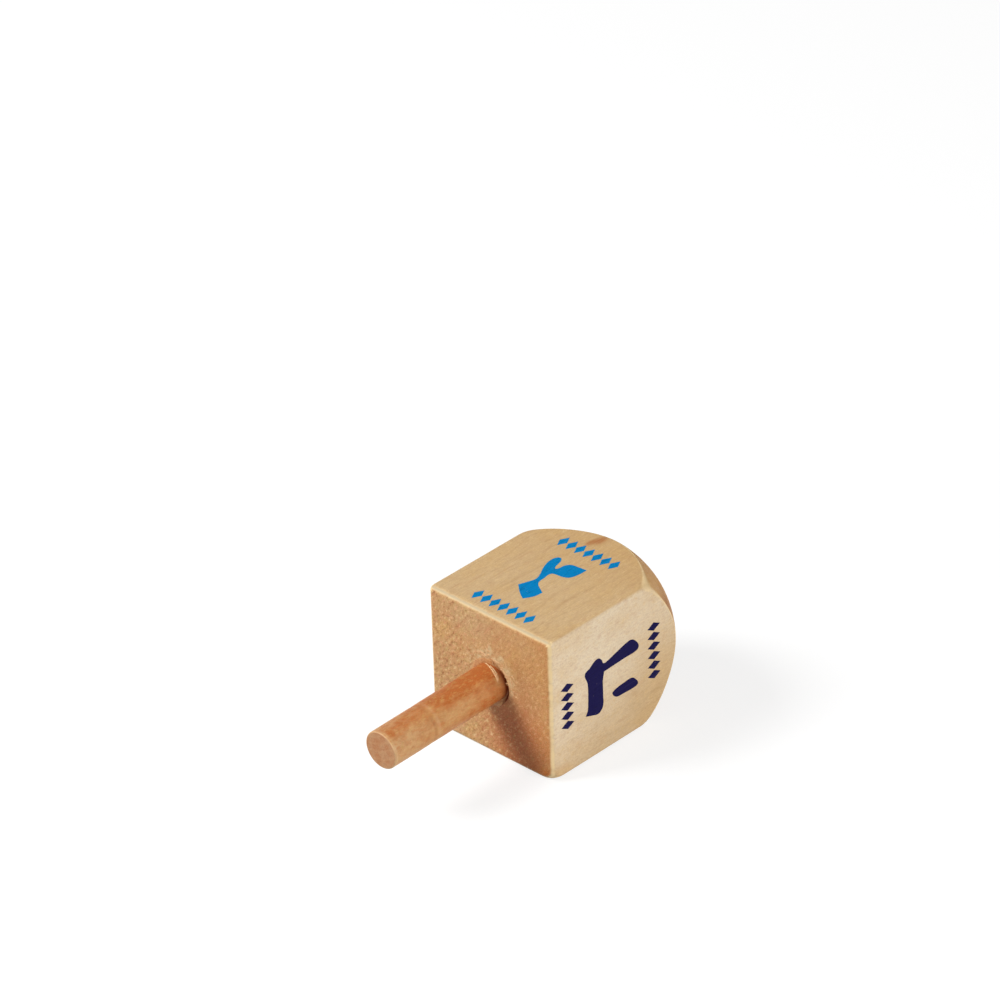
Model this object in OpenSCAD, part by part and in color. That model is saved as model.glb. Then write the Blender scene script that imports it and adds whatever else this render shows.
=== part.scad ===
/* [Block] */
// Width across two opposite flats of the square block
block_w = 32; // [24:0.5:40]
// Length of the block from the stem end face to the spinning tip
block_len = 45.5; // [38:0.5:60]
// Rounding radius of the long edges and of the edges round the stem end face
edge_r = 1.2; // [0.4:0.1:2.5]

/* [Turned end] */
// Slope of the turned end against the spin axis where it leaves the corners, in degrees
slope_corner = 36; // [30:0.5:39]
// Slope where the upper curve meets the shoulder, in degrees
slope_upper = 42; // [40:0.5:46]
// Slope where the shoulder meets the lower curve, in degrees
slope_lower = 57.5; // [50:0.5:61]
// Slope of the lower curve where it meets the rounded nose, in degrees
slope_tip = 66; // [62:0.5:76]
// Radius of the upper curve, as a share of the block width
upper_k = 2.7; // [2:0.1:3.2]
// Radius of the shoulder, as a share of the block width
shoulder_k = 0.9; // [0.3:0.05:1.1]
// Radius of the nose that the toy spins on
nose_r = 1.2; // [0.6:0.1:2.5]

/* [Stem] */
// Diameter of the dowel stem
stem_d = 8; // [5:0.1:10]
// Length of stem that stands out of the block
stem_out = 30; // [18:0.5:40]
// Rounding radius of the stem's free rim
stem_rim_r = 0.3; // [0.2:0.1:1.5]
// Depth of the blind hole that the stem is glued into
hole_depth = 14; // [8:0.5:20]
// Height of the hole's mouth above the middle of the stem end face
hole_rise = 0.6; // [0:0.1:1.2]
// Lean of the hole and its stem against the spin axis, in degrees
stem_lean = 1; // [0:0.1:2]

/* [Fit] */
// Radial gap between the stem and its hole
fit_gap = 0.8; // [0.2:0.05:1]
// Distance of the dried glue below the mouth of the hole
glue_drop = 0.7; // [0.2:0.1:2]
// Length of the hole that the glue fills
glue_len = 6; // [2:0.5:8]

/* [Hidden] */
$fn = 96;

// The toy lies on one flat: spin axis along X, stem towards -X, tip towards +X.
half_w = block_w / 2;
axis_z = half_w;                      // height of the spin axis over the resting flat
stem_r = stem_d / 2;
hole_r = stem_r + fit_gap;
// reach of the leaning stem along the spin axis, from its rim to the stem end face
stem_reach = stem_out * cos(stem_lean) + (stem_r - stem_rim_r) * sin(stem_lean)
    + stem_rim_r * (1 - cos(stem_lean));
total_len = block_len + stem_reach;
face_x = -total_len / 2 + stem_reach; // stem end face of the block
tip_x = total_len / 2;
corner_r = (half_w - edge_r) * sqrt(2) + edge_r;

// Outline of the turned end in a plane [x, r] through the spin axis: four arcs that
// run into each other without a corner. unit(a) is the outward normal where the
// outline slopes at the angle a against the axis.
function unit(a) = [sin(a), cos(a)];
upper_r = upper_k * block_w;
shoulder_r = shoulder_k * block_w;
p_corner = [0, corner_r];
c_upper = p_corner - upper_r * unit(slope_corner);
p_upper = c_upper + upper_r * unit(slope_upper);
c_shoulder = p_upper - shoulder_r * unit(slope_upper);
p_lower = c_shoulder + shoulder_r * unit(slope_lower);
// the lower curve ends where the nose, centred on the axis, takes over
lower_r = (p_lower[1] - nose_r * cos(slope_tip)) / (cos(slope_lower) - cos(slope_tip));
c_lower = p_lower - lower_r * unit(slope_lower);
p_tip = c_lower + lower_r * unit(slope_tip);
c_nose = [p_tip[0] - nose_r * sin(slope_tip), 0];
turned_len = c_nose[0] + nose_r;      // from the corners to the tip
turn_x = tip_x - turned_len;          // where the turned surface leaves the corners
far = 2 * block_w;                    // reach of the cutting shapes
weld = 0.002;                         // overlap that joins curves into one skin

// Square of side s with its four corners rounded to radius r
module rounded_square(s, r) {
    square([s - 2 * r, s], center = true);
    square([s, s - 2 * r], center = true);
    for (u = [-1, 1], v = [-1, 1])
        translate([u * (s / 2 - r), v * (s / 2 - r)]) circle(r = r);
}

// Side view of the block with only the two corners at the stem end face rounded
module side_view() {
    translate([edge_r, -half_w]) square([far, block_w]);
    translate([0, -half_w + edge_r]) square([far, block_w - 2 * edge_r]);
    for (v = [-1, 1]) translate([edge_r, v * (half_w - edge_r)]) circle(r = edge_r);
}

// The part of a disc between two stations along the axis, above the axis
module under_arc(from_x, to_x, centre, r) {
    intersection() {
        translate([from_x, 0]) square([to_x - from_x, far]);
        translate(centre) circle(r = r, $fn = 360);
    }
}

// Half outline of the turned body, x measured from the corners, r upwards. The
// shoulder and the nose stand proud by the weld, so each curve crosses the next.
module turned_outline() {
    under_arc(-block_len, p_upper[0], c_upper, upper_r);
    under_arc(c_shoulder[0], p_lower[0] + 1, c_shoulder, shoulder_r + weld);
    under_arc(p_lower[0], p_tip[0], c_lower, lower_r);
    under_arc(c_nose[0], turned_len + 1, c_nose, nose_r + weld);
}

// Solid of revolution about the X axis, corners at x = 0
module turned_body() {
    rotate([0, 90, 0]) rotate([0, 0, 90]) rotate_extrude($fn = 180)
        mirror([1, -1, 0]) turned_outline();
}

// Puts a shape that stands on the mouth of the hole, along Z, into the leaning hole
module in_hole() {
    translate([face_x, 0, axis_z + hole_rise]) rotate([0, 90 - stem_lean, 0]) children();
}

// Square block whose four flats run out into the turned end in scalloped creases
module block() {
    color([0.80, 0.62, 0.42])
    difference() {
        translate([0, 0, axis_z]) intersection() {
            translate([face_x, 0, 0]) rotate([0, 90, 0])
                linear_extrude(height = block_len) rounded_square(block_w, edge_r);
            translate([face_x, half_w, 0]) rotate([90, 0, 0])
                linear_extrude(height = block_w) side_view();
            translate([face_x, 0, -half_w])
                linear_extrude(height = block_w) side_view();
            translate([turn_x, 0, 0]) turned_body();
        }
        in_hole() translate([0, 0, -1]) cylinder(r = hole_r, h = hole_depth + 1);
    }
}

// Plain dowel with an eased free rim, standing on the floor of its hole
module stem() {
    color([0.76, 0.50, 0.27])
    in_hole() translate([0, 0, -stem_out]) rotate_extrude() {
        translate([0, stem_rim_r]) square([stem_r, stem_out + hole_depth - stem_rim_r]);
        square([stem_r - stem_rim_r, stem_rim_r * 2]);
        translate([stem_r - stem_rim_r, stem_rim_r]) intersection() {
            circle(r = stem_rim_r);
            translate([0, -stem_rim_r]) square(stem_rim_r);
        }
    }
}

// Dried glue between the stem and the wall of its hole, a little below the mouth
module glue() {
    color([0.55, 0.36, 0.20])
    in_hole() translate([0, 0, glue_drop]) difference() {
        cylinder(r = hole_r, h = glue_len);
        translate([0, 0, -1]) cylinder(r = stem_r, h = glue_len + 2);
    }
}

block();
stem();
glue();
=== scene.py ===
"""Looks of a wooden dreidel that lies on one flat.

The block, the stem and the dried glue stand in for the frame's nodes of the same names, with
worn edges, whose pale tone is partly a painted highlight, and sanded faces. The four game
letters are thin films of ink on the four flats.
Sizes are in millimetres until a mesh is written, and every place follows from the frame.
"""
import math
import random

import bmesh
import bpy
import numpy as np
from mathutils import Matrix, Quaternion, Vector, noise

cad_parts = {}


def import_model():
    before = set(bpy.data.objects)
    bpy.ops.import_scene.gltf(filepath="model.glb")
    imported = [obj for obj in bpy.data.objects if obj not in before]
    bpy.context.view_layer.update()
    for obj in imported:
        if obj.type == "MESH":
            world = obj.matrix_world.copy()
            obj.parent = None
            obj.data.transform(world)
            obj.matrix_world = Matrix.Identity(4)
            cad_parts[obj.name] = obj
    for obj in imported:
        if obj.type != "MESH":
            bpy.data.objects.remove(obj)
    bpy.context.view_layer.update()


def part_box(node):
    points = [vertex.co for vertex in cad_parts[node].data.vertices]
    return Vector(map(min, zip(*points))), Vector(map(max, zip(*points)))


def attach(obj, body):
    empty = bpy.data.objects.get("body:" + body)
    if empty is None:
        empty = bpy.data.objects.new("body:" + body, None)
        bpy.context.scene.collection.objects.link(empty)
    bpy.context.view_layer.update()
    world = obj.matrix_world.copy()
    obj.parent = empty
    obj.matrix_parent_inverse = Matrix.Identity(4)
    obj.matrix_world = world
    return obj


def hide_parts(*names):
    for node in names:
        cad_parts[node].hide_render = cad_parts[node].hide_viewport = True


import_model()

MM = 0.001
noise.seed_set(3)                               # so that noise vectors are the same each run

# Sizes that the frame gives
block_low, block_high = (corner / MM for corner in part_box("block"))
stem_low, stem_high = (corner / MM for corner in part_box("stem"))
glue_low, glue_high = (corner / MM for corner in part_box("glue"))
face_x = block_low.x                            # stem end face of the block
tip_x = block_high.x
half_w = (block_high.y - block_low.y) / 2
axis_z = (block_low.z + block_high.z) / 2
stem_r = (stem_high.y - stem_low.y) / 2
hole_r = (glue_high.y - glue_low.y) / 2

# Form of the turned end: slopes against the axis in degrees, radii as shares of the width
EDGE_R = 1.2
SLOPES = (36, 42, 57.5, 66)
UPPER_K, SHOULDER_K = 2.7, 0.9
NOSE_R = 1.2
STEM_RIM_R = 0.3

# The hole and its stem lean a little, and stand over the middle of the stem end face
LEAN = math.radians(1)
RISE = 0.6
stem_over = (stem_r - STEM_RIM_R) * math.sin(LEAN) + STEM_RIM_R * (1 - math.cos(LEAN))
stem_out = (face_x - stem_low.x - stem_over) / math.cos(LEAN)
hole_depth = (stem_high.x - face_x - stem_r * math.sin(LEAN)) / math.cos(LEAN)

# Wear of the real toy
CREASE_R = 0.95                                 # rounding of the creases round the flats
CORNER_R = 9.0                                  # the same where the creases meet the long edges
BLUNTED = 1.5                                   # depth of the blunt front corner on the floor
BLUNT_EASE = 0.28                               # softness of its borders
SANDED = 0.012                                  # least depth of the sanded skin under the frame's
WAVES = 0.03                                    # further depth of its low waves
INK_TOP = 0.004                                 # depth of the ink's top under the frame's skin
INK_DEPTH = 0.12                                # the films reach down into the wood
MARGIN = 0.14                                   # narrow strip of a face beside its rounded edge
EDGE_WEAR_AND_HIGHLIGHT = 0.3                                 # pale wear where a face meets its rounded edge, partly a painted highlight

# Colours as they render in plain light, red, green and blue from 0 to 255
SIDE_WOOD = (212, 180, 134)                     # flats
PALE_AND_SHEEN_WOOD = (234, 215, 185)                     # the flat towards -Y, paler partly by its own tone and partly as a painted sheen
PALEST_AND_SHEEN_WOOD = (250, 232, 204)                 # the same flat beside the stem end face, paler still with the same painted sheen
GOLDEN_WOOD = (200, 150, 74)                    # flats towards the turned end
TURNED_WOOD = (206, 147, 68)                    # turned end
TURNED_WOOD_IN_PAINTED_SHADE = (166, 102, 22)                    # the same, darkened by painted shade beside the upper right corner
FACE_WOOD = (206, 154, 103)                     # stem end face
BRUISED_WOOD = (222, 200, 156)                  # round the mouth of the hole
WORN_AND_HIGHLIT_WOOD = (250, 221, 168)                     # rubbed edges, pale partly from wear and partly as a painted highlight
WORN_WOOD_IN_PAINTED_SHADE = (196, 177, 142)                 # the rubbed edge that faces the light, painted darker as shade to offset that light
DARK_GRAIN = (146, 98, 56)
STAIN = (166, 90, 32)
# the stem's stain colour also serves as painted shade on its upper side
STEM_WOOD = (208, 156, 101)
STEM_STAIN_AND_SHADE = (180, 99, 46)
STEM_END = (198, 148, 106)
DARK_MARK, PALE_MARK = (150, 90, 48), (232, 198, 150)
# the last glue colour is painted shade deep in the hole
GLUE, DUSTY_GLUE, GLUE_IN_PAINTED_SHADE = (186, 128, 80), (208, 158, 106), (140, 58, 26)
TORN_WOOD, PALE_TORN_WOOD = (204, 152, 108), (222, 184, 136)
INKS = {"gimel": (0, 130, 194), "hey": (22, 17, 66), "nun": (24, 156, 66),
        "shin": (176, 14, 24)}


def linear(colour):
    """Scene linear colour with alpha, from a colour as it shows on a screen."""
    parts = [c / 255 for c in colour]
    return (*(p / 12.92 if p <= 0.04045 else ((p + 0.055) / 1.055) ** 2.4 for p in parts), 1)


def unit(angle):
    return np.array([math.sin(angle), math.cos(angle)])


def around(depth, r, angle):
    """Point round the leaning stem, by depth in its hole; the angle runs from the top to +Y."""
    x, z = depth, r * math.cos(angle)
    return np.array([face_x + x * math.cos(LEAN) - z * math.sin(LEAN), r * math.sin(angle),
                     axis_z + RISE + x * math.sin(LEAN) + z * math.cos(LEAN)])


def round_mouth(depth, r, angle):
    """Point of the stem end face, round the mouth of the hole."""
    return np.array([face_x + depth, r * math.sin(angle), axis_z + RISE + r * math.cos(angle)])


def turned_profile(samples=60):
    """Stations, radii and slopes of the turned end, from the block's corners to its tip."""
    s_corner, s_upper, s_lower, s_tip = (math.radians(s) for s in SLOPES)
    upper_r, shoulder_r = UPPER_K * 2 * half_w, SHOULDER_K * 2 * half_w
    start = np.array([0, (half_w - EDGE_R) * math.sqrt(2) + EDGE_R])
    c_upper = start - upper_r * unit(s_corner)
    p_upper = c_upper + upper_r * unit(s_upper)
    c_shoulder = p_upper - shoulder_r * unit(s_upper)
    p_lower = c_shoulder + shoulder_r * unit(s_lower)
    lower_r = (p_lower[1] - NOSE_R * math.cos(s_tip)) / (math.cos(s_lower) - math.cos(s_tip))
    c_lower = p_lower - lower_r * unit(s_lower)
    p_tip = c_lower + lower_r * unit(s_tip)
    c_nose = np.array([p_tip[0] - NOSE_R * math.sin(s_tip), 0])
    arcs = ((c_upper, upper_r, s_corner, s_upper), (c_shoulder, shoulder_r, s_upper, s_lower),
            (c_lower, lower_r, s_lower, s_tip), (c_nose, NOSE_R, s_tip, math.pi / 2))
    points, slopes = [], []
    for centre, radius, first, last in arcs:
        for slope in np.linspace(first, last, samples)[:-1]:
            points.append(centre + radius * unit(slope))
            slopes.append(slope)
    points.append(c_nose + NOSE_R * unit(math.pi / 2))
    slopes.append(math.pi / 2)
    points = np.array(points)
    return points[:, 0] - points[-1, 0] + tip_x, points[:, 1], np.array(slopes)


profile_x, profile_r, profile_slope = turned_profile()
profile_run = np.concatenate([[0], np.cumsum(np.hypot(np.diff(profile_x), np.diff(profile_r)))])


def on_profile(run):
    """Station and radius of the turned end after a run along its outline."""
    return np.interp(run, profile_run, profile_x), np.interp(run, profile_run, profile_r)


def link_mesh(name, made):
    """An object from a bmesh that is measured in millimetres."""
    bmesh.ops.scale(made, vec=(MM, MM, MM), verts=made.verts)
    bmesh.ops.recalc_face_normals(made, faces=made.faces)
    mesh = bpy.data.meshes.new(name)
    made.to_mesh(mesh)
    made.free()
    piece = bpy.data.objects.new(name, mesh)
    bpy.context.scene.collection.objects.link(piece)
    return piece


def ring_mesh(name, rings, wear_and_highlight=None, start=None, end=None):
    """A smooth mesh through rings of points, with a closing point before and after them."""
    made = bmesh.new()
    layer = made.verts.layers.float.new("wear_and_highlight")
    rows = []
    for r, ring in enumerate(rings):
        row = [made.verts.new(p) for p in ring]
        for c, v in enumerate(row):
            v[layer] = float(wear_and_highlight[r][c]) if wear_and_highlight is not None else 0.0
        rows.append(row)
    for row, following in zip(rows, rows[1:]):
        for c in range(len(row)):
            d = (c + 1) % len(row)
            made.faces.new((row[c], row[d], following[d], following[c]))
    for point, row in ((start, rows[0]), (end, rows[-1])):
        if point is not None:
            pole = made.verts.new(point)
            pole[layer] = row[0][layer]
            for c in range(len(row)):
                made.faces.new((pole, row[(c + 1) % len(row)], row[c]))
    bmesh.ops.remove_doubles(made, verts=made.verts, dist=1e-4)
    piece = link_mesh(name, made)
    piece.data.shade_smooth()
    return piece


def sand(piece, least, waves, pitch):
    """Sinks every point a little along its normal, so that no face is a perfect plane."""
    made = bmesh.new()
    made.from_mesh(piece.data)
    made.normal_update()
    for v in made.verts:
        swell = 0.5 + 0.5 * noise.noise(v.co / (pitch * MM))
        v.co -= v.normal * (least + waves * min(1, max(0, swell))) * MM
    made.to_mesh(piece.data)
    made.free()


def dress(piece, material, node=None):
    """Gives a piece its material and its ride, and hides the frame's node that it stands for."""
    piece.data.materials.clear()
    piece.data.materials.append(material)
    if node:
        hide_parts(node)
    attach(piece, "root")
    return piece


# Block

# The four flats: outward direction and the direction to the right of someone who looks at
# the flat with the stem up, both across the spin axis, as (y, z)
FLATS = {"gimel": ((0, 1), (1, 0)), "nun": ((1, 0), (0, -1)),
         "shin": ((0, -1), (-1, 0)), "hey": ((-1, 0), (0, 1))}


def fade(distance, reach=0.25):
    """Pale wear beside an edge, partly a painted highlight, a little way into the face."""
    return EDGE_WEAR_AND_HIGHLIGHT * np.exp(-(np.maximum(distance, 0) / reach) ** 2)


def over_edge(angle):
    """Pale wear across a rounded edge, partly a painted highlight, full in its middle."""
    return EDGE_WEAR_AND_HIGHLIGHT + (1 - EDGE_WEAR_AND_HIGHLIGHT) * math.sin(2 * angle) ** 3


def block_columns(flat_steps=40, arc_steps=8):
    """Section points of the block: place on the inner square, way out, wear and painted highlight.
    """
    inner = half_w - EDGE_R
    steps = [-inner, *np.linspace(-inner + MARGIN, inner - MARGIN, flat_steps), inner]
    columns = []
    for out, right in FLATS.values():
        out, right = np.array(out, float), np.array(right, float)
        for t in steps:
            columns.append((t * right + inner * out, out, fade(inner - abs(t))))
        for angle in np.linspace(0, math.pi / 2, arc_steps + 1)[1:-1]:
            way = math.cos(angle) * out + math.sin(angle) * right
            columns.append((inner * (out + right), way, over_edge(angle)))
    return columns


def blunt(points):
    """Points of the block, with the front corner on the floor worn down along its diagonal."""
    outward = -np.ones(3) / math.sqrt(3)
    height = (np.array(points) - (face_x, -half_w, axis_z - half_w)) @ outward
    worn = -BLUNT_EASE * np.logaddexp(-height / BLUNT_EASE, BLUNTED / BLUNT_EASE)
    return points + (worn - height)[:, None] * outward


def block_mesh(flat_rows=34, turned_rows=44, face_rows=16, round_rows=8, crease_rows=6):
    """The block from the floor of its hole over the flats to the tip."""
    columns = block_columns()
    base = np.array([c[0] for c in columns])
    way = np.array([c[1] for c in columns])
    edge_wear_and_highlight = np.array([c[2] for c in columns])
    whole = base + EDGE_R * way
    reach = np.hypot(whole[:, 0], whole[:, 1])
    aim = whole / reach[:, None]
    crease = np.interp(-reach, -profile_r, profile_run)
    crease_x = np.interp(crease, profile_run, profile_x)
    slope = np.interp(crease, profile_run, profile_slope)
    cornered = ((reach - reach.min()) / (reach.max() - reach.min())) ** 4
    setback = (CREASE_R + (CORNER_R - CREASE_R) * cornered) * np.tan(slope / 2)
    rings, wear_and_highlight = [], []

    def ring(station, section, worn):
        station = np.broadcast_to(station, len(columns))
        rings.append(blunt([(x, p[0], p[1] + axis_z) for x, p in zip(station, section)]))
        wear_and_highlight.append(np.broadcast_to(worn, len(columns)))

    # hole from its floor to its torn mouth
    torn_least, torn_swing, torn_pitch, torn_depth = 0.05, 0.10, 3.5, 0.8
    torn = np.array([torn_swing * noise.noise(Vector((*a, 0.3)) * torn_pitch) + torn_least
                     for a in aim])
    rim_r = 0.15
    middle = np.array([0, RISE])
    floor_x = face_x + hole_depth
    floor_middle = middle + (0, hole_depth * math.tan(LEAN))
    ring(floor_x, floor_middle + aim * hole_r * 0.5, 0)
    for x in np.linspace(floor_x, face_x + rim_r, 12):
        near = math.exp(-(x - face_x) / torn_depth)
        lift = (0, (x - face_x) * math.tan(LEAN))
        ring(x, middle + lift + aim * (hole_r + torn * near)[:, None], 0)
    for turn in (math.pi / 6, math.pi / 3, math.pi / 2):
        mouth = hole_r + torn + rim_r * (1 - math.cos(turn))
        ring(face_x + rim_r * (1 - math.sin(turn)), middle + aim * mouth[:, None], 0)
    # stem end face, from the round mouth to the square outline
    for share in np.linspace(0, 1, face_rows + 1)[1:-1]:
        ring(face_x, (middle + aim * mouth[:, None]) * (1 - share) + base * share, 0)
    ring(face_x, base * (1 - MARGIN / half_w), fade(MARGIN))
    # rounding between the stem end face and the flats
    for turn in np.linspace(0, math.pi / 2, round_rows + 1):
        section = base + EDGE_R * math.sin(turn) * way
        ring(face_x + EDGE_R * (1 - math.cos(turn)), section,
             np.maximum(over_edge(turn), edge_wear_and_highlight))
    # flats
    first = face_x + EDGE_R + MARGIN
    last = crease_x - setback - MARGIN
    for share in np.linspace(0, 1, flat_rows):
        x = first + (last - first) * share
        ends = np.maximum(fade(x - face_x - EDGE_R), 0.7 * fade(last + MARGIN - x))
        ring(x, whole, np.maximum(ends, edge_wear_and_highlight))
    # rounded creases round the flats
    start = np.array([crease_x - setback, reach])
    knee = np.array([crease_x, reach])
    end = np.array(on_profile(crease + setback))
    for share in np.linspace(0, 1, crease_rows + 1):
        x, r = start * (1 - share) ** 2 + knee * 2 * share * (1 - share) + end * share ** 2
        # the pale ridge along each crease is partly a painted highlight
        ridge = 0.22 + 0.56 * math.sin(math.pi * share)
        ring(x, aim * r[:, None], np.maximum(ridge, 0.5 * edge_wear_and_highlight))
    # turned end
    start_run = crease + setback + 0.16
    end_run = profile_run[-1]
    for share in np.linspace(0, 1, turned_rows + 1)[:-1] ** 1.05:
        run = start_run + (end_run - start_run) * share
        x, r = on_profile(run)
        by_tip = 0.8 * np.exp(-(end_run - run) / 0.9)
        ring(x, aim * r[:, None], np.maximum(0.5 * fade(run - crease - setback), by_tip))
    floor_centre, tip = (floor_x, 0, axis_z + floor_middle[1]), (tip_x, 0, axis_z)
    return ring_mesh("block_wood", rings, wear_and_highlight, floor_centre, tip)


# Stem

# Faint pressed rings on the stem: station from its free end, width, depth and change of tint
STEM_MARKS = ((11.0, 0.45, 0.035, -0.20), (12.1, 0.45, 0.005, 0.14), (3.2, 0.35, 0.01, -0.05))


def stem_mesh(across=96, pitch=0.3):
    """A dowel with an eased rim, faint pressed rings and a slightly uneven skin."""
    rows = [(0, (stem_r - STEM_RIM_R) * share, 0.0) for share in (0.25, 0.5, 0.75, 0.95)]
    for turn in np.linspace(0, math.pi / 2, 7):
        rows.append((STEM_RIM_R * (1 - math.cos(turn)),
                     stem_r - STEM_RIM_R * (1 - math.sin(turn)), 0.4 + 0.6 * math.sin(2 * turn)))
    for run in np.arange(STEM_RIM_R + 0.1, stem_out + hole_depth, pitch):
        groove = sum(d * math.exp(-((run - s) / w) ** 2) for s, w, d, _ in STEM_MARKS)
        rows.append((run, stem_r - groove, math.exp(-(run - STEM_RIM_R) / 0.5)))
    rows.append((stem_out + hole_depth, stem_r, 0.0))
    turns = np.linspace(0, 2 * math.pi, across, endpoint=False)
    rings = [[around(run - stem_out, r, a) for a in turns] for run, r, _ in rows]
    wear_and_highlight = [[worn] * across for _, _, worn in rows]
    return ring_mesh("stem_wood", rings, wear_and_highlight, around(-stem_out, 0, 0), around(hole_depth, 0, 0))


# Glue and torn fibres at the mouth of the hole

OPEN_SIDE = math.radians(-76)                   # towards -Y and a little up


def glue_mesh(across=120):
    """Dried glue and wood dust: flush at the top of the hole, sunk where it stays open."""
    turns = np.linspace(0, 2 * math.pi, across, endpoint=False)
    off_side = [abs(math.remainder(a - OPEN_SIDE, 2 * math.pi)) for a in turns]
    open_share = [max(0, math.cos(min(math.pi / 2, 1.3 * off))) for off in off_side]
    rings = []
    for share in (-0.05, 0.0, 0.15, 0.3, 0.45, 0.6, 0.75, 0.9, 1.0, 1.1, 1.3, 1.5):
        ring = []
        for a, gap in zip(turns, open_share):
            place = Vector((math.sin(a), math.cos(a), share)) * 3.0
            # lumps, the sunk open side, the bead's crown, the open side's slope and a sunk rim
            depth = 0.05 * noise.noise(place * 1.7) + 0.7 * gap ** 0.7
            depth -= 0.05 * math.sin(math.pi * share / 1.5)
            depth += 1.1 * gap * min(1, max(0, share - 0.25) / 0.5) + 0.25 * max(0, share - 1.2)
            ring.append(round_mouth(depth, stem_r + (hole_r - stem_r) * share, a))
        rings.append(ring)
    glue_end = glue_high.x - face_x - hole_r * math.sin(LEAN)
    for share in (1.1, -0.05):
        rings.append([around(glue_end, stem_r + (hole_r - stem_r) * share, a) for a in turns])
    rings.append(rings[0])
    return ring_mesh("glue_bead", rings)


def strand(made, path, width, height, outward=None, root=0.12):
    """One torn fibre along a path of points, tapered at both ends and set into the wood."""
    rows = []
    path = [Vector(p) for p in path]
    outward = outward or [Vector((-1, 0, 0))] * len(path)
    for i, (p, out) in enumerate(zip(path, outward)):
        along = (path[min(i + 1, len(path) - 1)] - path[max(i - 1, 0)]).normalized()
        side = along.cross(out).normalized()
        share = math.sin(math.pi * (0.06 + 0.88 * i / (len(path) - 1))) ** 0.6
        half, lift = side * width / 2 * share, out * height * share
        rows.append([made.verts.new(q) for q in (p + half, p + lift, p - half, p - out * root)])
    for row, following in zip(rows, rows[1:]):
        for c in range(4):
            d = (c + 1) % 4
            made.faces.new((row[c], row[d], following[d], following[c]))
    made.faces.new(rows[0])
    made.faces.new(reversed(rows[-1]))


# Main torn fibres: first and last angle round the hole in degrees, radii, width and height
STRANDS = ((30, 8, 6.6, 5.6, 0.50, 0.10), (-4, -30, 5.5, 5.8, 0.55, 0.10),
           (8, -2, 7.6, 6.6, 0.40, 0.08), (-36, -62, 5.3, 5.5, 0.55, 0.12),
           (-58, -80, 5.9, 6.2, 0.50, 0.10), (-66, -92, 5.2, 5.1, 0.34, 0.12))

# Pale splinters that lie along the stem at the mouth: first and last angle round the stem in
# degrees, first and last distance out of the hole and width
SPLINTERS = ((18, -20, 0.0, 0.8, 0.34), (-8, -54, 0.6, 1.3, 0.46),
             (-4, -38, 0.2, 0.6, 0.22), (-30, -58, 0.5, 1.4, 0.70))


def fibres_mesh(fine=26):
    """Torn fibres round the upper right of the hole's mouth, main ones and fine ones."""
    chance = random.Random(11)
    made = bmesh.new()
    for first, last, r1, r2, width, height in STRANDS:
        path = []
        for k in range(9):
            share = k / 8
            r = r1 + (r2 - r1) * share + 0.12 * math.sin(7 * share + first)
            path.append(round_mouth(0.02, r, math.radians(first + (last - first) * share)))
        strand(made, path, width, height)
    for first, last, start, end, width in SPLINTERS:
        path, outward = [], []
        for share in np.linspace(0, 1, 9):
            angle = math.radians(first + (last - first) * share)
            path.append(around(-start - (end - start) * share ** 1.3, stem_r + 0.01, angle))
            outward.append(Vector((0, math.sin(angle), math.cos(angle))))
        strand(made, path, width, 0.12, outward)
    for _ in range(fine):
        angle = math.radians(chance.uniform(-100, 34))
        place = np.array([math.sin(angle), math.cos(angle)]) * chance.uniform(5.1, 6.6) + (0, RISE)
        heading = angle + math.pi / 2 + chance.gauss(0, 0.7)
        bend = chance.uniform(-0.5, 0.5)
        step = chance.uniform(0.10, 0.30)
        path = []
        for _ in range(6):
            path.append((face_x + 0.03, place[0], axis_z + place[1]))
            place = place + step * np.array([math.sin(heading), math.cos(heading)])
            heading += bend
        strand(made, path, chance.uniform(0.14, 0.30), chance.uniform(0.03, 0.09))
    return link_mesh("torn_fibres", made)


# Materials

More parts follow.
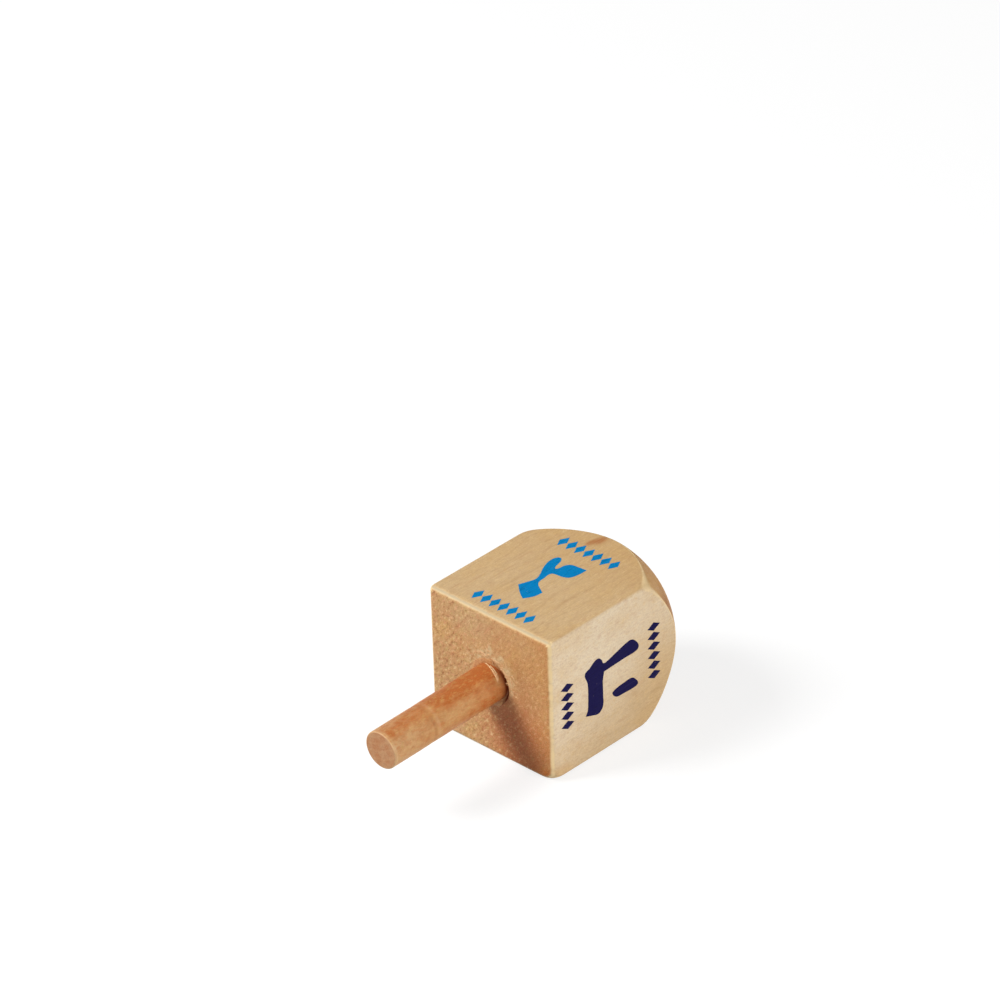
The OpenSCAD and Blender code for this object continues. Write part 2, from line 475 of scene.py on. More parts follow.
class Tree:
    """Short names for the nodes of one material."""

    def __init__(self, name):
        self.material = bpy.data.materials.new(name)
        self.material.use_nodes = True
        self.nodes = self.material.node_tree.nodes
        self.links = self.material.node_tree.links
        self.shader = self.nodes["Principled BSDF"]
        self.coordinates = self.nodes.new("ShaderNodeTexCoord")

    def plug(self, value, socket):
        if isinstance(value, bpy.types.NodeSocket):
            self.links.new(value, socket)
        else:
            socket.default_value = value

    def vector(self, operation, *values):
        node = self.nodes.new("ShaderNodeVectorMath")
        node.operation = operation
        for value, socket in zip(values, node.inputs):
            self.plug(value, socket)
        return node.outputs["Value" if operation == "LENGTH" else "Vector"]

    def scaled(self, vector, factor):
        node = self.nodes.new("ShaderNodeVectorMath")
        node.operation = "SCALE"
        self.plug(vector, node.inputs[0])
        self.plug(factor, node.inputs["Scale"])
        return node.outputs["Vector"]

    def math(self, operation, *values, clamp=False):
        node = self.nodes.new("ShaderNodeMath")
        node.operation = operation
        node.use_clamp = clamp
        for value, socket in zip(values, node.inputs):
            self.plug(value, socket)
        return node.outputs[0]

    def times(self, first, second):
        return self.math("MULTIPLY", first, second)

    def noise(self, place, size, detail=2.0, roughness=0.5):
        """Noise from 0 to 1 whose features have about the given sizes in millimetres."""
        node = self.nodes.new("ShaderNodeTexNoise")
        place = self.vector("MULTIPLY", place, tuple(1 / s for s in size))
        self.plug(place, node.inputs["Vector"])
        node.inputs["Scale"].default_value = 1
        node.inputs["Detail"].default_value = detail
        node.inputs["Roughness"].default_value = roughness
        return node.outputs["Fac"]

    def spread(self, value, low, high, first=0.0, last=1.0):
        """Stretches a value from low..high to first..last, with soft ends."""
        node = self.nodes.new("ShaderNodeMapRange")
        node.interpolation_type = "SMOOTHSTEP"
        for socket, number in zip(node.inputs, (value, low, high, first, last)):
            self.plug(number, socket)
        return node.outputs["Result"]

    def mix(self, share, first, second):
        node = self.nodes.new("ShaderNodeMix")
        node.data_type = "RGBA"
        self.plug(share, node.inputs[0])
        for colour, socket in ((first, node.inputs[6]), (second, node.inputs[7])):
            plain = not isinstance(colour, bpy.types.NodeSocket)
            self.plug(linear(colour) if plain else colour, socket)
        return node.outputs[2]

    def tints(self, colour, *rows, where=None):
        """Mixes colours in, one for each row: value, its start and end, share and colour."""
        for value, start, end, share, tint in rows:
            amount = self.spread(value, start, end, 0, share)
            if where is not None:
                amount = self.times(amount, where)
            colour = self.mix(amount, colour, tint)
        return colour

    def patches(self, colour, place, rows):
        """Mixes colours in round places, by rows of centre, half sizes, share and colour."""
        for centre, size, share, tint in rows:
            colour = self.mix(self.times(self.blob(place, centre, size), share), colour, tint)
        return colour

    def wear_and_highlight(self):
        node = self.nodes.new("ShaderNodeAttribute")
        node.attribute_name = "wear_and_highlight"
        return node.outputs["Fac"]

    def place(self):
        """Place on the object in millimetres, from the spin axis at the stem end face."""
        return self.vector("SUBTRACT", self.scaled(self.coordinates.outputs["Object"], 1 / MM),
                           (face_x, 0, axis_z))

    def swung(self, vector, degrees):
        """A vector turned about the X axis."""
        node = self.nodes.new("ShaderNodeMapping")
        self.plug(vector, node.inputs["Vector"])
        node.inputs["Rotation"].default_value = (math.radians(degrees), 0, 0)
        return node.outputs["Vector"]

    def split(self, vector):
        node = self.nodes.new("ShaderNodeSeparateXYZ")
        self.plug(vector, node.inputs[0])
        return node.outputs

    def blob(self, place, centre, size):
        """1 in the middle of an ellipsoid and 0 outside it."""
        offset = self.vector("SUBTRACT", place, centre)
        offset = self.vector("MULTIPLY", offset, tuple(1 / s for s in size))
        return self.spread(self.vector("LENGTH", offset), 1.0, 0.25)

    def finish(self, colour, roughness, specular, bumps):
        """Plugs all into the shader; each bump is a value and its height in millimetres."""
        self.plug(colour, self.shader.inputs["Base Color"])
        self.plug(roughness, self.shader.inputs["Roughness"])
        self.shader.inputs["Specular IOR Level"].default_value = specular
        normal = None
        for value, height in bumps:
            node = self.nodes.new("ShaderNodeBump")
            node.inputs["Strength"].default_value = 1
            node.inputs["Distance"].default_value = height * MM
            self.plug(value, node.inputs["Height"])
            if normal:
                self.plug(normal, node.inputs["Normal"])
            normal = node.outputs["Normal"]
        self.plug(normal, self.shader.inputs["Normal"])
        return self.material


def wood_grain(t, place):
    """Noises that the block, the stem and the ink share, with the grain along the spin axis."""
    warp = t.math("SUBTRACT", t.noise(place, (34, 9, 9), 1), 0.5)
    bent = t.vector("ADD", place, t.scaled((0.0, 1.0, 1.0), t.times(warp, 3.2)))
    return {"streak": t.noise(bent, (24, 1.7, 1.7), 3, 0.6),
            "line": t.noise(bent, (13, 0.42, 0.42), 1, 0.5),
            "fibre": t.noise(bent, (1.9, 0.22, 0.22), 2, 0.6),
            "cloud": t.noise(place, (9, 5, 5), 2, 0.5),
            "blotch": t.noise(place, (2.1, 1.5, 1.5), 2, 0.5),
            "speckle": t.noise(place, (0.33, 0.30, 0.30), 2, 0.7)}


# Small stains of the block: centre from the spin axis at the stem end face, half sizes, share
STAINS = (((31.8, 2.6, 16), (2.4, 1.0, 3), 0.80), ((33.6, 1.7, 16), (2.8, 1.4, 3), 0.85),
          ((29.4, 4.7, 16), (1.5, 0.35, 2), 0.35), ((27.2, -12.6, 16), (1.5, 0.3, 2), 0.25),
          ((8, 10.5, 16), (5, 0.3, 2), 0.22), ((13, 8.4, 16), (6, 0.25, 2), 0.25),
          ((20, 9.3, 16), (5, 0.3, 2), 0.2), ((13, -8, 16), (4, 0.3, 2), 0.15),
          ((20, -16, -11), (2.4, 2, 0.5), 0.2), ((9, 16, 6), (5, 2, 0.7), 0.3),
          ((25, 16, -8), (3, 2, 0.4), 0.35), ((12, 9, -16), (6, 0.8, 2), 0.3))

# Bruised spots round the hole: centre and half sizes across and up
BRUISES = ((-3.0, 7.1, 1.1, 0.9), (-4.4, 4.7, 1.5, 1.2), (-5.4, 2.5, 1.0, 1.6),
           (-0.1, 7.8, 0.8, 1.8), (1.4, 6.6, 2.0, 0.9), (-1.8, 6.3, 1.6, 0.7),
           (2.8, 5.2, 1.4, 0.8), (-5.6, 0.2, 0.6, 1.3))

# Patches of the stem end face: centre on the face, half sizes, share and colour. The broad
# ones are painted shade, a redder and darker tone in and round the stem's cast shadow and
# towards the lower edge; the others lie over the tint that darkens the right edge.
PAINTED_SHADE_PATCHES = (((0, -8, -12), (12, 13, 15), 0.62, (194, 86, 40)),
                 ((0, -3, -6), (3, 6, 6), 0.35, (194, 92, 54)))
FACE_PATCHES = (((0, -8, -1), (3, 6, 6), 0.45, (176, 116, 70)),
                ((0, -7, 5), (3, 3.5, 5), 0.35, (166, 108, 64)),
                ((0, 5, 13), (3, 10, 6), 0.35, (206, 178, 134)),
                ((0, 13, -14), (3, 7, 6), 0.55, (222, 188, 148)),
                ((0, -14.5, -15), (3, 3.5, 2.5), 0.55, (226, 124, 34)))

LATHE_RINGS = (9.3, 4.1)                        # distances from the tip


def flat_wood(t, place, g, n, p, turned):
    """Wood of the flats and of the turned end, with a painted sheen and painted shade,
    before the lathe rings and the pale wear with its painted highlight.
    """
    # the flat towards -Y is paler, most of all at its upper edge and by the stem end face,
    # partly its own tone and partly a painted sheen with painted light that fades downwards
    right = t.spread(n["Y"], -0.55, -0.95)
    height = t.math("ADD", p["Z"], t.times(t.math("SUBTRACT", g["cloud"], 0.5), 14))
    height = t.math("SUBTRACT", height, t.spread(p["X"], 16, 34, 0, 9))
    pale_and_sheen = t.times(right, t.spread(height, -17, 3, 0.22, 1.0))
    colour = t.mix(pale_and_sheen, SIDE_WOOD, PALE_AND_SHEEN_WOOD)
    near = t.times(t.spread(p["X"], 14, 2, 0, 0.32), t.spread(p["Z"], -16, -8, 0.3, 1.0))
    colour = t.mix(t.times(right, near), colour, PALEST_AND_SHEEN_WOOD)
    low = t.times(t.blob(place, (2, -16, -15), (6, 3, 3)), 0.35)
    colour = t.mix(t.times(right, low), colour, (216, 164, 90))
    # the flats grow yellower towards the turned end
    golden = t.math("SUBTRACT", 1.0, t.times(pale_and_sheen, 0.4))
    golden = t.times(golden, t.spread(p["X"], 14, 36, 0, 0.32))
    less = t.times(right, t.spread(p["X"], 28, 34, 0, 0.16))
    colour = t.mix(t.math("SUBTRACT", golden, less, clamp=True), colour, GOLDEN_WOOD)
    # painted shade on the turned end beside its upper right corner
    turned_with_painted_shade = t.mix(t.blob(place, (34, -16, 8), (6, 6, 6)), TURNED_WOOD, TURNED_WOOD_IN_PAINTED_SHADE)
    colour = t.mix(turned, colour, turned_with_painted_shade)
    colour = t.tints(colour, (g["cloud"], 0.40, 0.70, 0.30, (212, 172, 112)),
                     (g["blotch"], 0.55, 0.75, 0.22, (198, 150, 104)),
                     (g["blotch"], 0.45, 0.25, 0.25, (224, 192, 146)),
                     (g["mottle"], 0.52, 0.72, 0.30, (222, 184, 122)),
                     (g["mottle"], 0.48, 0.28, 0.25, (196, 148, 112)))
    # growth rings about a heart far outside the block, faint where the wood is pale and sheened
    heart = t.vector("MULTIPLY", t.vector("SUBTRACT", place, (0, -62, 41)), (0.04, 1, 1))
    ring = t.math("ADD", t.times(t.vector("LENGTH", heart), 0.36), t.times(g["cloud"], 2.2))
    ring = t.math("PINGPONG", ring, 0.5)
    marked = t.math("SUBTRACT", 1.0, t.times(pale_and_sheen, 0.85))
    colour = t.tints(colour, (ring, 0.34, 0.5, 0.10, DARK_GRAIN),
                     (g["streak"], 0.54, 0.76, 0.16, DARK_GRAIN),
                     (g["line"], 0.66, 0.80, 0.18, DARK_GRAIN), where=marked)
    colour = t.tints(colour, (g["fibre"], 0.54, 0.72, 0.13, DARK_GRAIN),
                     (g["fibre"], 0.46, 0.28, 0.24, WORN_AND_HIGHLIT_WOOD))
    colour = t.mix(t.spread(g["speckle"], 0.38, 0.66, 0.14, 0), colour, DARK_GRAIN)
    for centre, size, share in STAINS:
        uneven = t.spread(g["fibre"], 0.3, 0.6, share, share * 0.6)
        colour = t.mix(t.times(t.blob(place, centre, size), uneven), colour, STAIN)
    return colour


def sawn_wood(t, place, g, p):
    """End grain of the stem end face: its colour with painted shade, its pores and how coarse it
    is.
    """
    slanted = t.swung(place, -42)
    pore = t.noise(slanted, (1.0, 0.66, 1.0), 3, 0.6)
    grit = t.noise(slanted, (1.0, 0.24, 0.34), 2, 0.6)
    band = t.noise(slanted, (30, 2.6, 6), 3, 0.6)
    hue = t.noise(t.vector("ADD", slanted, (0, 40, 7)), (1.0, 0.8, 1.1), 2, 0.6)
    # coarse on the left, smoother on the right
    side = t.math("ADD", p["Y"], t.times(t.math("SUBTRACT", g["cloud"], 0.5), 16))
    side = t.math("SUBTRACT", side, t.times(p["Z"], 0.30))
    coarse = t.spread(side, -8, 6, 0.50, 1.0)
    colour = t.mix(t.spread(g["cloud"], 0.35, 0.7), FACE_WOOD, (206, 150, 94))
    colour = t.mix(t.times(coarse, 0.35), colour, (204, 166, 118))
    colour = t.tints(colour, (band, 0.52, 0.70, 0.50, (192, 120, 76)),
                     (band, 0.48, 0.28, 0.60, (218, 172, 108)))
    # painted shade: a redder, darker tone in and round the stem's cast shadow
    colour = t.patches(colour, place, PAINTED_SHADE_PATCHES)
    colour = t.tints(colour, (p["Y"], -8, -15, 0.40, (200, 134, 70)))
    colour = t.patches(colour, place, FACE_PATCHES)
    # bruised, paler wood round the hole, less so under the stem
    frayed = t.scaled((0.0, 1.0, 1.0), t.math("SUBTRACT", pore, 0.5))
    frayed = t.vector("ADD", place, frayed)
    strength = t.spread(p["Z"], -2.5, 1.5, 0.10, 0.75)
    for across, up, half_across, half_up in BRUISES:
        bruise = t.blob(frayed, (0, across, up), (2, half_across, half_up))
        colour = t.mix(t.times(bruise, strength), colour, BRUISED_WOOD)
    # roughened wood above the mouth, with pale and dark flecks
    reach = t.vector("MULTIPLY", t.vector("SUBTRACT", frayed, (0, 0, RISE)), (0, 1, 1))
    rough = t.spread(t.vector("LENGTH", reach), 9.0, 6.0)
    rough = t.times(rough, t.spread(p["Z"], -1.0, 3.0))
    fleck = t.noise(t.vector("ADD", place, (5, 0, 0)), (1.0, 0.55, 0.55), 2, 0.6)
    colour = t.mix(t.times(rough, 0.30), colour, (206, 174, 124))
    colour = t.tints(colour, (fleck, 0.50, 0.64, 0.60, (228, 206, 162)),
                     (fleck, 0.44, 0.32, 0.40, (178, 122, 74)), where=rough)
    # blushes of pink and of olive, then the pores
    colour = t.tints(colour, (hue, 0.52, 0.70, 0.55, (226, 162, 122)),
                     (hue, 0.46, 0.30, 0.50, (196, 168, 104)),
                     (pore, 0.52, 0.70, 0.80, (158, 104, 62)),
                     (pore, 0.47, 0.31, 0.72, (240, 206, 152)), where=coarse)
    colour = t.tints(colour, (grit, 0.52, 0.70, 0.35, (156, 100, 60)),
                     (grit, 0.48, 0.30, 0.30, (232, 192, 140)))
    return colour, pore, coarse


def block_material():
    t = Tree("block_wood")
    place = t.place()
    g = wood_grain(t, place)
    g["mottle"] = t.noise(place, (1.3, 0.7, 0.7), 2, 0.6)
    n = t.split(t.coordinates.outputs["Normal"])
    p = t.split(place)
    front = t.spread(n["X"], -0.72, -0.97)
    turned = t.spread(n["X"], 0.36, 0.66)
    sawn, pore, coarse = sawn_wood(t, place, g, p)
    colour = t.mix(front, flat_wood(t, place, g, n, p, turned), sawn)
    for distance in LATHE_RINGS:
        offset = t.math("ABSOLUTE", t.math("SUBTRACT", p["X"], tip_x - face_x - distance))
        colour = t.tints(colour, (offset, 0.16, 0.03, 0.45, DARK_GRAIN), where=turned)
    turning = t.noise(place, (0.16, 60, 60), 1)
    colour = t.tints(colour, (turning, 0.5, 0.75, 0.12, DARK_GRAIN), where=turned)
    # the long edges are rounded more softly and get little pale wear and painted highlight
    rubbed_and_highlit = t.times(t.wear_and_highlight(), t.spread(g["streak"], 0.25, 0.65, 0.65, 1.0))
    rubbed_and_highlit = t.times(rubbed_and_highlit, t.spread(t.math("ABSOLUTE", n["X"]), 0.02, 0.20, 0.55, 1.0))
    # the edge over the stem faces the light, so its pale wear is painted darker there
    # as shade that offsets that light
    painted_shade_on_lit_edge = t.times(t.spread(n["Z"], 0.3, 0.8), t.spread(n["X"], -0.2, -0.6))
    worn = t.mix(painted_shade_on_lit_edge, WORN_AND_HIGHLIT_WOOD, WORN_WOOD_IN_PAINTED_SHADE)
    colour = t.tints(colour, (rubbed_and_highlit, 0.3, 0.95, 0.95, worn))
    roughness = t.spread(g["streak"], 0.2, 0.8, 0.48, 0.60)
    sawn_pore = t.times(pore, t.times(front, coarse))
    return t.finish(colour, roughness, specular=0.2, bumps=(
        (g["fibre"], 0.018), (g["speckle"], 0.022), (t.times(turning, turned), 0.02),
        (sawn_pore, 0.14)))


def stem_end(t, place, g):
    """End grain of the stem's free end, with growth rings about its upper part."""
    pore = t.noise(place, (0.4, 0.35, 0.35), 3, 0.7)
    heart = t.vector("MULTIPLY", t.vector("SUBTRACT", place, (0, 3.0, 7.5)), (0, 1, 1))
    growth = t.math("ADD", t.vector("LENGTH", heart), t.times(g["blotch"], 0.9))
    growth = t.math("PINGPONG", growth, 0.8)
    colour = t.mix(t.spread(g["blotch"], 0.3, 0.7), STEM_END, (190, 128, 84))
    return t.tints(colour, (growth, 0.35, 0.8, 0.17, (222, 178, 128)),
                   (pore, 0.50, 0.70, 0.38, (150, 98, 70)),
                   (pore, 0.48, 0.30, 0.28, (222, 180, 140)))


def stem_material():
    t = Tree("stem_wood")
    place = t.place()
    g = wood_grain(t, place)
    n = t.split(t.coordinates.outputs["Normal"])
    p = t.split(place)
    patch = t.noise(place, (4.5, 2.8, 2.8), 3, 0.6)
    fray = t.noise(place, (1.6, 0.9, 0.9), 2, 0.6)
    mottle = t.noise(place, (1.2, 0.8, 0.8), 2, 0.6)
    fleck = t.noise(t.vector("ADD", place, (9, 3, 5)), (1.0, 0.5, 0.5), 2, 0.6)
    # the stain is strongest on the upper side and towards the block; the darker upper side is
    # partly painted shade
    upper_stain_and_shade = t.spread(n["Z"], 0.45, 1.05, 0.05, 1.05)
    upper_stain_and_shade = t.times(upper_stain_and_shade, t.spread(p["X"], -27, -13, 0.40, 0.95))
    lower = t.times(t.spread(n["Z"], 0.42, -0.15, 0, 0.50), t.spread(p["X"], -20, -9))
    stain_and_shade = t.math("ADD", t.math("ADD", upper_stain_and_shade, lower), t.spread(p["X"], -12, -1, 0, 0.36))
    stain_and_shade = t.math("ADD", stain_and_shade, t.spread(fray, 0.3, 0.7, -0.16, 0.16))
    stain_and_shade = t.math("ADD", stain_and_shade, t.spread(patch, 0.25, 0.75, -0.22, 0.36), clamp=True)
    spot = t.times(t.blob(place, (-28.4, -1.2, 3.7), (1.7, 2.3, 1.7)), 0.9)
    plain = t.tints(STEM_WOOD, (p["X"], -18, -27, 0.40, (222, 182, 136)))
    colour = t.mix(t.math("MAXIMUM", stain_and_shade, spot), plain, STEM_STAIN_AND_SHADE)
    colour = t.tints(colour, (g["streak"], 0.50, 0.75, 0.10, DARK_GRAIN),
                     (g["blotch"], 0.45, 0.25, 0.22, (218, 178, 116)),
                     (mottle, 0.52, 0.72, 0.20, (220, 176, 104)),
                     (mottle, 0.48, 0.28, 0.25, (180, 110, 66)),
                     (fleck, 0.52, 0.70, 0.35, (208, 122, 62)),
                     (fleck, 0.47, 0.30, 0.35, (206, 168, 98)),
                     (g["fibre"], 0.54, 0.74, 0.18, DARK_GRAIN))
    colour = t.mix(t.spread(g["speckle"], 0.38, 0.66, 0.14, 0), colour, DARK_GRAIN)
    for station, width, _, tint in STEM_MARKS:
        offset = t.math("ABSOLUTE", t.math("SUBTRACT", p["X"], station - stem_out))
        uneven = t.spread(g["cloud"], 0.35, 0.6, 0.2 * abs(tint), 1.3 * abs(tint))
        mark = t.times(t.spread(offset, 1.3 * width, 0.2 * width), uneven)
        colour = t.mix(mark, colour, DARK_MARK if tint < 0 else PALE_MARK)
    # painted shade: a darker patch where the stem goes into its hole on the open side
    mouth = t.times(t.spread(p["X"], -1.1, 0.6), t.spread(n["Y"], -0.15, -0.7))
    colour = t.mix(t.times(mouth, 0.85), colour, (138, 62, 28))
    colour = t.mix(t.spread(n["X"], -0.6, -0.98), colour, stem_end(t, place, g))
    # pale rim of the free end, partly real wear and partly a painted highlight, less on its upper
    # side
    rubbed_and_highlit = t.times(t.spread(t.wear_and_highlight(), 0.2, 0.95), t.spread(g["blotch"], 0.3, 0.6, 0.3, 0.65))
    rubbed_and_highlit = t.times(rubbed_and_highlit, t.spread(n["Z"], 0.85, 0.35, 0.3, 1.0))
    colour = t.mix(rubbed_and_highlit, colour, (230, 196, 150))
    roughness = t.spread(g["streak"], 0.2, 0.8, 0.46, 0.58)
    return t.finish(colour, roughness, specular=0.2, bumps=(
        (g["fibre"], 0.014), (g["speckle"], 0.020), (mottle, 0.03)))


def glue_material():
    t = Tree("glue")
    place = t.place()
    cloud = t.noise(place, (0.7, 0.7, 0.7), 3, 0.6)
    colour = t.mix(t.spread(cloud, 0.35, 0.65), GLUE, DUSTY_GLUE)
    # painted shade: the glue darkens the deeper it lies in the hole
    colour = t.mix(t.spread(t.split(place)["X"], 0.1, 0.9), colour, GLUE_IN_PAINTED_SHADE)
    roughness = t.spread(cloud, 0.3, 0.7, 0.35, 0.6)
    return t.finish(colour, roughness, specular=0.3, bumps=((cloud, 0.08),))


def fibre_material():
    t = Tree("torn_fibre")
    place = t.place()
    cloud = t.noise(place, (0.5, 0.5, 0.5), 2)
    colour = t.mix(t.spread(cloud, 0.35, 0.65), TORN_WOOD, PALE_TORN_WOOD)
    roughness = t.spread(cloud, 0.3, 0.7, 0.5, 0.7)
    grain = t.noise(place, (0.3, 0.3, 0.3), 1)
    return t.finish(colour, roughness, specular=0.3, bumps=((grain, 0.02),))


def ink_material(name):
    """Thin matt ink through which the pores and the grain of the wood still show."""
    t = Tree("ink_" + name)
    place = t.place()
    g = wood_grain(t, place)
    ink = INKS[name]
    dark = tuple(c * 0.80 for c in ink)
    paler = tuple(c + (225 - c) * 0.14 for c in ink)
    pinhole = t.noise(place, (0.40, 0.15, 0.15), 1)
    colour = t.tints(ink, (g["fibre"], 0.50, 0.75, 1.0, dark),
                     (g["streak"], 0.45, 0.2, 0.7, paler),
                     (pinhole, 0.77, 0.83, 0.5, SIDE_WOOD))
    roughness = t.spread(g["speckle"], 0.3, 0.7, 0.50, 0.64)
    return t.finish(colour, roughness, specular=0.05, bumps=(
        (g["fibre"], 0.014), (g["speckle"], 0.018)))


# Ink

def curve_through(points, steps=6):
    """Closed outline through points (across, down), rounded except at those marked as corners."""
    flat = [np.array(p[:2], float) for p in points]
    sharp = [len(p) > 2 for p in points]
    count = len(flat)
    outline = []
    for i in range(count):
        before, here, there, after = (flat[(i + k) % count] for k in (-1, 0, 1, 2))
        leave = there - here if sharp[i] else there - before
        arrive = there - here if sharp[(i + 1) % count] else after - here
        length = np.linalg.norm(there - here)
        leave, arrive = (v / np.linalg.norm(v) * length for v in (leave, arrive))
        for s in np.arange(steps) / steps:
            outline.append((2 * s ** 3 - 3 * s ** 2 + 1) * here + (s ** 3 - 2 * s ** 2 + s) * leave
                           + (3 * s ** 2 - 2 * s ** 3) * there + (s ** 3 - s ** 2) * arrive)
    return outline


CORNER = True

# Letter outlines on their flats: millimetres across, to the right with the stem up, and
# millimetres down from the stem end face
LETTERS = {
    "gimel": [
        [(2.9, 11.5, CORNER), (2.3, 13.1), (1.7, 15.2), (2.3, 17.0), (3.5, 19.3), (4.2, 21.8),
         (3.9, 23.4), (3.1, 23.8), (2.4, 22.9), (1.9, 21.0), (1.4, 20.2, CORNER), (1.0, 20.7),
         (0.8, 22.2), (0.0, 23.3), (-1.7, 23.6), (-3.6, 23.8, CORNER), (-3.5, 21.6), (-2.9, 19.7),
         (-1.6, 19.0), (0.4, 18.7), (0.9, 17.9), (0.7, 16.4), (0.6, 15.0), (0.0, 14.0),
         (-1.2, 13.2), (-2.6, 12.4, CORNER), (-2.3, 10.4), (-1.2, 8.4, CORNER), (0.6, 9.5)],
    ],
    "hey": [
        [(6.2, 13.4), (5.4, 14.3), (4.5, 14.7), (4.4, 15.6), (5.2, 18.6), (6.0, 22.2),
         (5.4, 23.6), (3.6, 24.8), (2.8, 24.2), (2.7, 21.0), (2.6, 18.0), (2.5, 14.9, CORNER),
         (0.6, 14.5), (-2.5, 14.5), (-5.2, 14.4), (-6.3, 13.2), (-5.9, 11.4), (-5.2, 9.5, CORNER),
         (-4.1, 10.1), (-1.0, 10.3), (2.0, 10.2), (4.4, 9.5), (5.2, 10.9), (6.1, 12.3)],
        [(-2.8, 22.7), (-3.6, 23.7), (-4.9, 24.4), (-5.3, 23.2), (-5.2, 20.3), (-5.0, 18.3),
         (-3.7, 17.1), (-3.1, 18.0), (-2.8, 20.6)],
    ],
    "nun": [
        [(-0.4, 9.4, CORNER), (1.0, 10.3), (2.2, 11.0), (2.9, 12.7), (3.3, 15.6), (3.5, 18.8),
         (3.7, 21.6), (3.4, 24.0), (1.2, 24.7), (-1.6, 25.2), (-3.6, 25.3, CORNER), (-3.3, 23.4),
         (-2.5, 21.2), (-0.4, 20.7), (1.5, 20.3), (1.6, 17.8), (1.4, 16.0), (0.3, 14.7),
         (-1.4, 14.0), (-2.1, 13.0), (-1.7, 11.2), (-1.0, 9.7)],
    ],
    "shin": [
        [(-5.6, 8.8, CORNER), (-3.6, 10.5), (-2.4, 12.4), (-2.7, 14.4), (-3.4, 14.9, CORNER),
         (-4.2, 14.4, CORNER), (-3.6, 16.9), (-2.5, 20.2, CORNER), (-2.2, 17.0), (-1.6, 13.0),
         (-1.0, 9.3, CORNER), (0.6, 10.8), (1.7, 12.3), (1.6, 14.9, CORNER), (0.6, 14.6, CORNER),
         (-0.1, 17.2), (-0.8, 20.2, CORNER), (1.2, 19.2), (2.9, 18.0), (3.4, 15.9), (2.6, 13.6),
         (2.4, 11.4), (4.2, 9.0, CORNER), (5.4, 11.2), (6.4, 13.6), (5.9, 16.6), (5.2, 19.9),
         (4.6, 22.6), (2.6, 23.8), (-0.8, 24.6), (-3.2, 24.8), (-4.2, 23.2), (-4.9, 19.4),
         (-5.6, 16.2), (-5.4, 14.2), (-6.6, 12.6), (-6.6, 11.0)],
    ],
}

# Rows of plain lozenges above and below a letter: middle across, middle down and width of row
ROWS = {"gimel": ((-0.4, 3.9, 15.4), (0.3, 28.6, 15.2)),
        "hey": ((-0.3, 4.5, 10.4), (0.3, 29.1, 12.9)),
        "nun": ((-0.1, 4.0, 10.4), (0.3, 28.8, 10.4)),
        "shin": ((0.0, 4.2, 12.8), (0.0, 28.8, 15.2))}
LOZENGE_W, LOZENGE_H, LOZENGE_PITCH = 1.9, 3.6, 2.4


def lozenge_row(middle, down, width):
    count = round((width - LOZENGE_W) / LOZENGE_PITCH) + 1
    w, h = LOZENGE_W / 2, LOZENGE_H / 2
    row = []
    for across in np.linspace(middle - width / 2 + w, middle + width / 2 - w, count):
        row.append([(across, down - h, CORNER), (across + w, down, CORNER),
                    (across, down + h, CORNER), (across - w, down, CORNER)])
    return row


def ink_film(name, flat, outlines):
    """Thin films on one flat, each a closed solid sunk into the wood, with uneven edges."""
    pitch, swing = 2.4, 0.035
    out, right = (Vector((0, *direction)) for direction in FLATS[flat])
    made = bmesh.new()
    for outline in outlines:
        points = []
        for across, down in curve_through(outline):
            rough = noise.noise_vector(Vector((across, down, 3.7)) * pitch) * swing
            place = Vector((face_x + down + rough.y, 0, axis_z)) + right * (across + rough.x)
            points.append(place + out * (half_w - INK_TOP))
        top = [made.verts.new(p) for p in points]
        low = [made.verts.new(p - out * INK_DEPTH) for p in points]
        made.faces.new(top)
        made.faces.new(reversed(low))
        for i in range(len(top)):
            j = (i + 1) % len(top)
            made.faces.new((top[j], top[i], low[i], low[j]))
    made.normal_update()
    bmesh.ops.triangulate(made, faces=made.faces, ngon_method="EAR_CLIP")
    return link_mesh(name, made)


block = block_mesh()
sand(block, least=SANDED, waves=WAVES, pitch=7.0)
dress(block, block_material(), "block")
stem = stem_mesh()
sand(stem, least=0.005, waves=0.04, pitch=5.0)
dress(stem, stem_material(), "stem")
dress(glue_mesh(), glue_material(), "glue")
dress(fibres_mesh(), fibre_material())
for flat, outlines in LETTERS.items():
    ink = ink_material(flat)
    dress(ink_film("letter_" + flat, flat, outlines), ink)
    for number, row in enumerate(ROWS[flat], 1):
        dress(ink_film(f"marks_{flat}_{number}", flat, lozenge_row(*row)), ink)


# Stage, light and camera

def seen_ray(nodes, links):
    """1 for rays that the camera sends, also through gloss and glass."""
    path = nodes.new("ShaderNodeLightPath")
    total = path.outputs["Is Camera Ray"]
    for kind in ("Is Glossy Ray", "Is Transmission Ray"):
        either = nodes.new("ShaderNodeMath")
        either.operation = "MAXIMUM"
        links.new(total, either.inputs[0])
        links.new(path.outputs[kind], either.inputs[1])
        total = either.outputs[0]
    return total


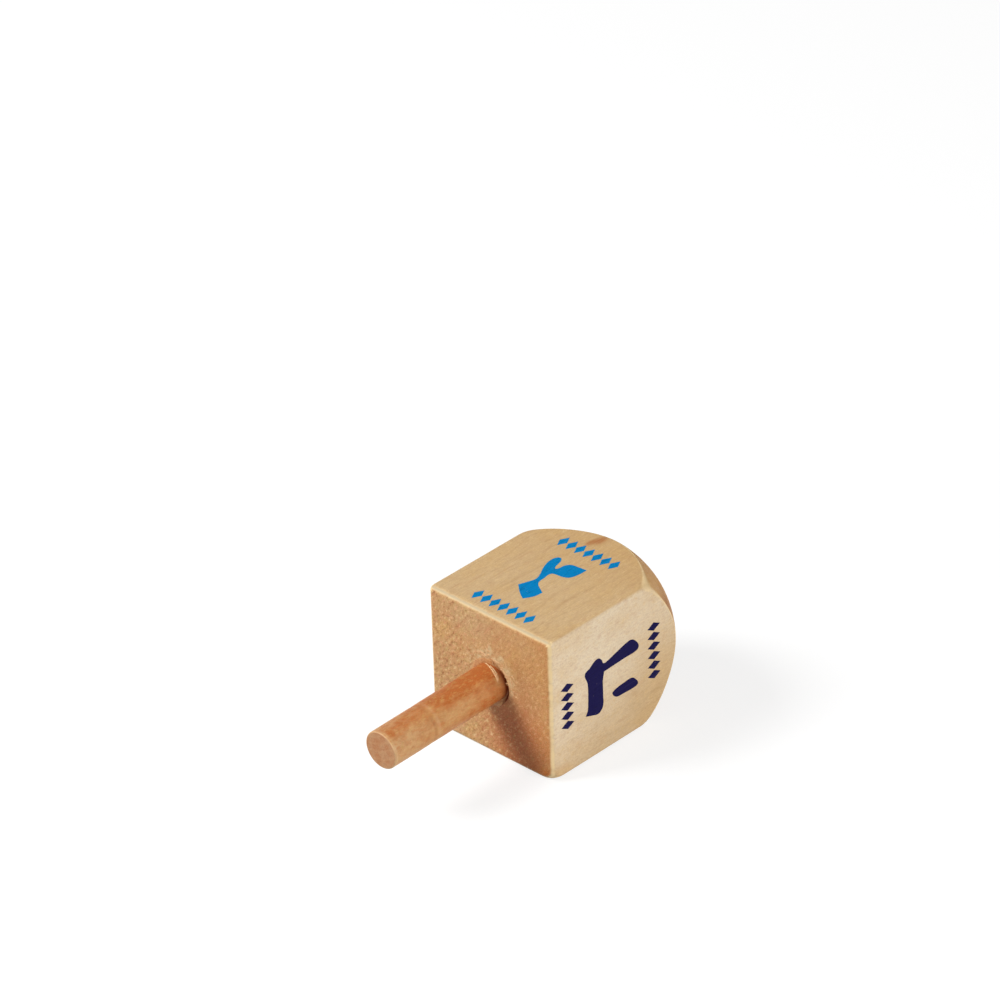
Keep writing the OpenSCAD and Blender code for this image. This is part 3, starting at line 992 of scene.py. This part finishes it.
def floor(bounce, grey, glow, reach=3.0):
    """A pale floor: white to the camera but for the toy's shadow, plain to all other rays."""
    mesh = bpy.data.meshes.new("floor")
    corners = [(-reach, -reach, 0), (reach, -reach, 0), (reach, reach, 0), (-reach, reach, 0)]
    mesh.from_pydata(corners, [], [(0, 1, 2, 3)])
    piece = bpy.data.objects.new("floor", mesh)
    bpy.context.scene.collection.objects.link(piece)
    t = Tree("floor")
    t.nodes.remove(t.shader)
    plain = t.nodes.new("ShaderNodeBsdfDiffuse")
    plain.inputs["Color"].default_value = (bounce, bounce, bounce, 1)
    soft = t.nodes.new("ShaderNodeBsdfDiffuse")
    soft.inputs["Color"].default_value = (grey, grey, grey, 1)
    shine = t.nodes.new("ShaderNodeEmission")
    shine.inputs["Strength"].default_value = glow
    both = t.nodes.new("ShaderNodeAddShader")
    t.plug(soft.outputs[0], both.inputs[0])
    t.plug(shine.outputs[0], both.inputs[1])
    chosen = t.nodes.new("ShaderNodeMixShader")
    t.plug(seen_ray(t.nodes, t.links), chosen.inputs[0])
    t.plug(plain.outputs[0], chosen.inputs[1])
    t.plug(both.outputs[0], chosen.inputs[2])
    t.plug(chosen.outputs[0], t.nodes["Material Output"].inputs["Surface"])
    mesh.materials.append(t.material)


def world(ambient):
    """An even white studio, dimmer as a light than as it looks."""
    made = bpy.data.worlds.new("studio")
    made.use_nodes = True
    nodes, links = made.node_tree.nodes, made.node_tree.links
    strength = nodes.new("ShaderNodeMapRange")
    links.new(seen_ray(nodes, links), strength.inputs["Value"])
    strength.inputs["To Min"].default_value = ambient
    strength.inputs["To Max"].default_value = 1
    links.new(strength.outputs["Result"], nodes["Background"].inputs["Strength"])
    nodes["Background"].inputs["Color"].default_value = (1, 1, 1, 1)
    bpy.context.scene.world = made


LAMP_AIM = Vector((0.002, 0, 0.016))            # a place inside the block, in metres


def lamp(name, towards, distance, size, level):
    """A square soft light; at level 1 it alone shows a white surface that faces it as white."""
    data = bpy.data.lights.new(name, "AREA")
    data.size = size
    data.energy = level * math.pi ** 2 * distance ** 2
    made = bpy.data.objects.new(name, data)
    direction = Vector(towards).normalized()
    made.location = LAMP_AIM + direction * distance
    made.rotation_mode = "QUATERNION"
    made.rotation_quaternion = (-direction).to_track_quat("-Z", "Y")
    bpy.context.scene.collection.objects.link(made)


def camera(eye, target, roll, lens):
    """The photograph's view: places in millimetres, roll in degrees, lens in millimetres."""
    data = bpy.data.cameras.new("camera")
    data.lens = lens
    data.clip_start = 0.01
    made = bpy.data.objects.new("camera", data)
    made.location = Vector(eye) * MM
    made.rotation_mode = "QUATERNION"
    look = (Vector(target) - Vector(eye)).to_track_quat("-Z", "Y")
    made.rotation_quaternion = look @ Quaternion((0, 0, 1), math.radians(roll))
    bpy.context.scene.collection.objects.link(made)
    bpy.context.scene.camera = made


floor(bounce=0.4, grey=0.30, glow=0.78)
world(ambient=0.17)
lamp("key", towards=(-0.58, 0.455, 0.675), distance=0.9, size=0.36, level=1.0)
lamp("fill", towards=(0.05, -0.98, 0.13), distance=1.0, size=0.7, level=1.05)
camera(eye=(-608.87, -591.9, 574.6), target=(0.73, 4.1, 51.9), roll=-1.82, lens=190.0)
bpy.context.scene.view_settings.view_transform = "Standard"
